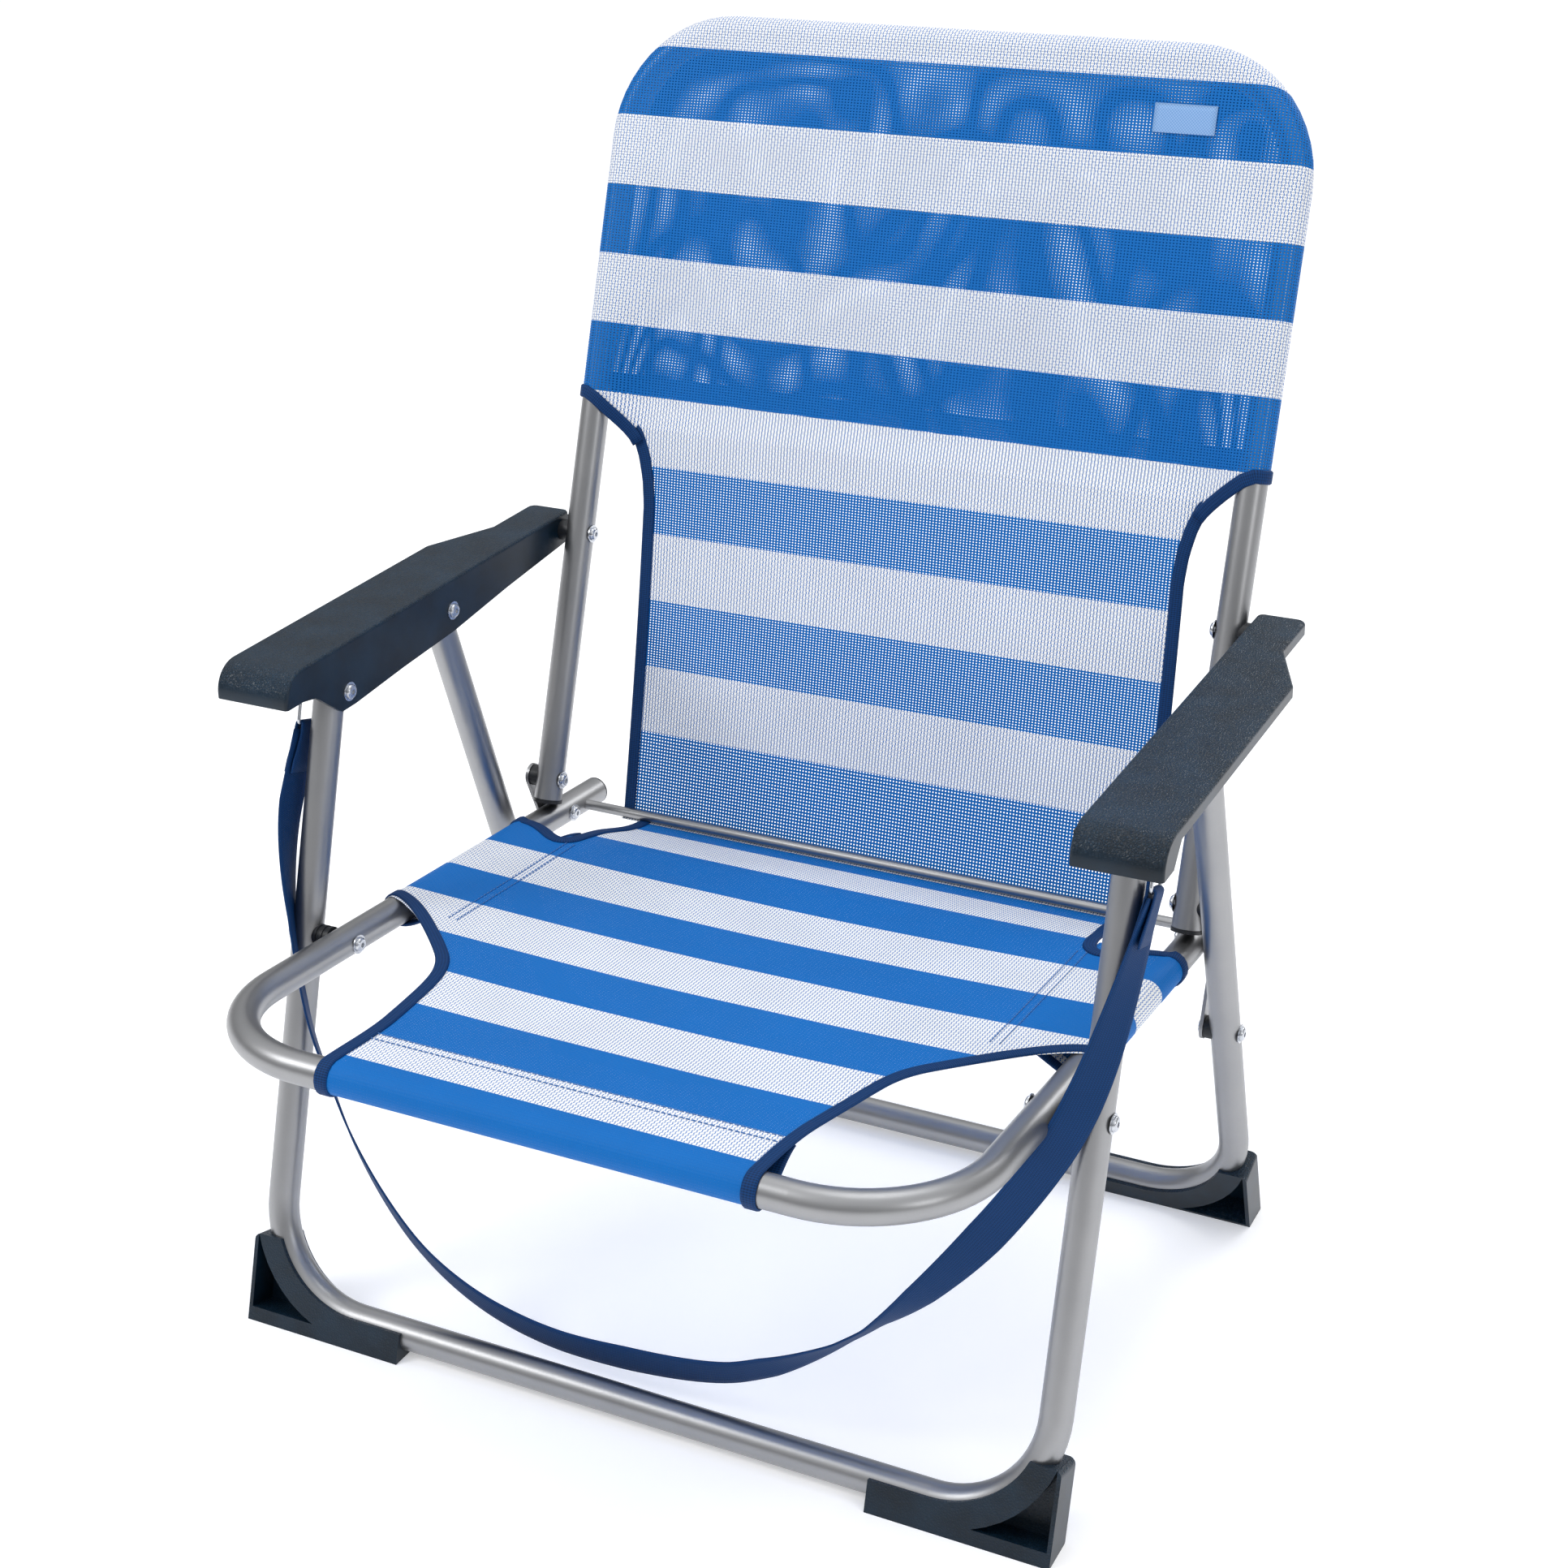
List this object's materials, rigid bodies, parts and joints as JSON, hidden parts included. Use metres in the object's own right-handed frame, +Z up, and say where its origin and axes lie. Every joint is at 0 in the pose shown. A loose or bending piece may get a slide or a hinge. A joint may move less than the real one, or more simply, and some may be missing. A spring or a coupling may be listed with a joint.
{
  "type": "folding beach chair",
  "caption": "Low folding chair of bent aluminium tube with a striped mesh seat and reclined back, moulded armrests, corner feet and a webbing carrying strap.",
  "frame": {"origin": "on the floor under the middle of the open chair", "axes": "+Z up, the sitter faces -Y, the chair is as wide to +X as to -X"},
  "size_m": [0.68, 0.6605, 0.8597],
  "materials": {
    "satin_tube": "satin anodised tube",
    "slate_plastic": "dark slate blue, fine leather grain",
    "black_plastic": "black",
    "zinc_steel": "bright zinc",
    "striped_cloth": "woven mesh, blue and white stripes",
    "navy_webbing": "flat webbing"
  },
  "bodies": {
    "front_frame": {"front_leg_frame": "satin_tube", "foot_front_left": "slate_plastic", "foot_front_right": "slate_plastic", "leg_pivot_screws": "zinc_steel", "leg_pivot_bushes": "black_plastic", "arm_front_screws": "zinc_steel", "wire_loop_left": "zinc_steel", "wire_loop_right": "zinc_steel", "carry_strap": "navy_webbing"},
    "armrest_left": {"armrest_left": "slate_plastic"},
    "armrest_right": {"armrest_right": "slate_plastic"},
    "backrest": {"backrest_frame": "satin_tube", "backrest_plugs": "black_plastic", "arm_rear_screws": "zinc_steel", "arm_rear_bushes": "black_plastic", "back_link_screws": "zinc_steel", "back_link_bushes": "black_plastic", "back_fabric": "striped_cloth", "back_panel": "striped_cloth"},
    "rear_frame": {"rear_leg_frame": "satin_tube", "foot_rear_left": "slate_plastic", "foot_rear_right": "slate_plastic", "arm_mid_screws": "zinc_steel", "leg_link_screws": "zinc_steel", "leg_link_bushes": "black_plastic"},
    "link_left": {"link_plate_left": "satin_tube", "link_rivet_left": "zinc_steel"},
    "link_right": {"link_plate_right": "satin_tube", "link_rivet_right": "zinc_steel"},
    "seat": {"seat_frame": "satin_tube", "seat_end_caps": "black_plastic", "cross_rod": "satin_tube", "seat_link_screws": "zinc_steel", "seat_link_bushes": "black_plastic", "seat_pivot_screws": "zinc_steel", "seat_fabric": "striped_cloth"}
  },
  "joints": [
    {"name": "armrest_left_pivot", "type": "hinge", "parent": "front_frame", "child": "armrest_left", "pos_m": [0, -0.0954, 0.4431], "axis": [1, 0, 0], "range_deg": [-94.05, 0.2]},
    {"name": "armrest_right_pivot", "type": "hinge", "parent": "front_frame", "child": "armrest_right", "pos_m": [0, -0.0954, 0.4431], "axis": [1, 0, 0], "range_deg": [-94.05, 0.2]},
    {"name": "backrest_fold", "type": "hinge", "parent": "armrest_left", "child": "backrest", "pos_m": [0, 0.1957, 0.4746], "axis": [1, 0, 0], "range_deg": [0, 104], "deforming": ["back_panel"]},
    {"name": "rear_leg_pivot", "type": "hinge", "parent": "armrest_left", "child": "rear_frame", "pos_m": [0, 0.0372, 0.4593], "axis": [1, 0, 0], "range_deg": [-0.2, 61.21]},
    {"name": "link_left_pivot", "type": "hinge", "parent": "backrest", "child": "link_left", "pos_m": [0, 0.13436, 0.28802], "axis": [1, 0, 0], "range_deg": [-161.09, 0.2]},
    {"name": "link_right_pivot", "type": "hinge", "parent": "backrest", "child": "link_right", "pos_m": [0, 0.13436, 0.28802], "axis": [1, 0, 0], "range_deg": [-161.09, 0.2]},
    {"name": "seat_pivot", "type": "hinge", "parent": "link_left", "child": "seat", "pos_m": [0, 0.14954, 0.25347], "axis": [1, 0, 0], "range_deg": [-0.2, 65.38]}
  ],
  "couplings": [
    {"joint": "armrest_left_pivot", "follows": "backrest_fold", "ratio": -0.9024},
    {"joint": "armrest_right_pivot", "follows": "backrest_fold", "ratio": -0.9024},
    {"joint": "rear_leg_pivot", "follows": "backrest_fold", "ratio": 0.5866},
    {"joint": "link_left_pivot", "follows": "backrest_fold", "ratio": -1.547},
    {"joint": "link_right_pivot", "follows": "backrest_fold", "ratio": -1.547},
    {"joint": "seat_pivot", "follows": "backrest_fold", "ratio": 0.6267}
  ]
}
